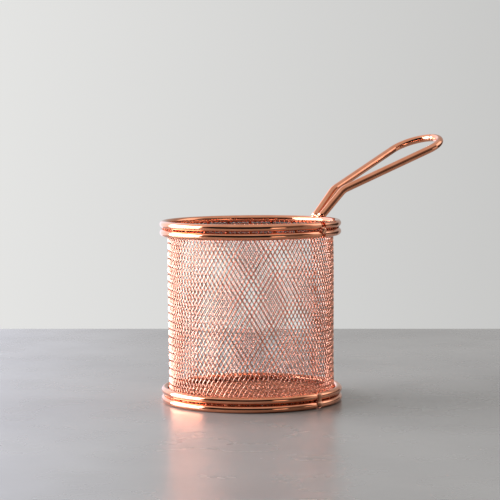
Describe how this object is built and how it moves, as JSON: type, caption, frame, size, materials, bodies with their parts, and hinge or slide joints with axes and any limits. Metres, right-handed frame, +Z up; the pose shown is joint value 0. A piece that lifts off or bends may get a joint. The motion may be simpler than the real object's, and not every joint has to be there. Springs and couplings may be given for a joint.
{
  "type": "wire mesh serving basket",
  "caption": "Small round copper-coloured wire mesh serving basket with paired wire rings at rim and base and a rising wire loop handle.",
  "frame": {"origin": "on the basket's axis, in the plane that it stands on", "axes": "+Z up along the basket's axis, +X along the handle, +Y across it"},
  "size_m": [0.1703, 0.09, 0.131],
  "materials": {
    "ring_wire": "polished copper plate on steel wire",
    "handle_wire": "polished copper plate on steel wire",
    "woven_mesh": "copper plate on fine woven steel wire",
    "weld": "copper plate over weld beads, slightly uneven"
  },
  "bodies": {
    "root": {"rim_upper_ring": "ring_wire", "rim_lower_ring": "ring_wire", "rim_seam_weld": "weld", "base_upper_ring": "ring_wire", "base_lower_ring": "ring_wire", "base_seam_weld": "weld", "wall_mesh": "woven_mesh", "wall_lap_strip": "woven_mesh", "wall_lap_welds": "weld", "base_mesh": "woven_mesh", "rim_spot_welds": "weld", "base_spot_welds": "weld", "handle_loop": "handle_wire", "handle_foot_welds": "weld", "handle_bridge_weld": "weld"}
  },
  "joints": []
}
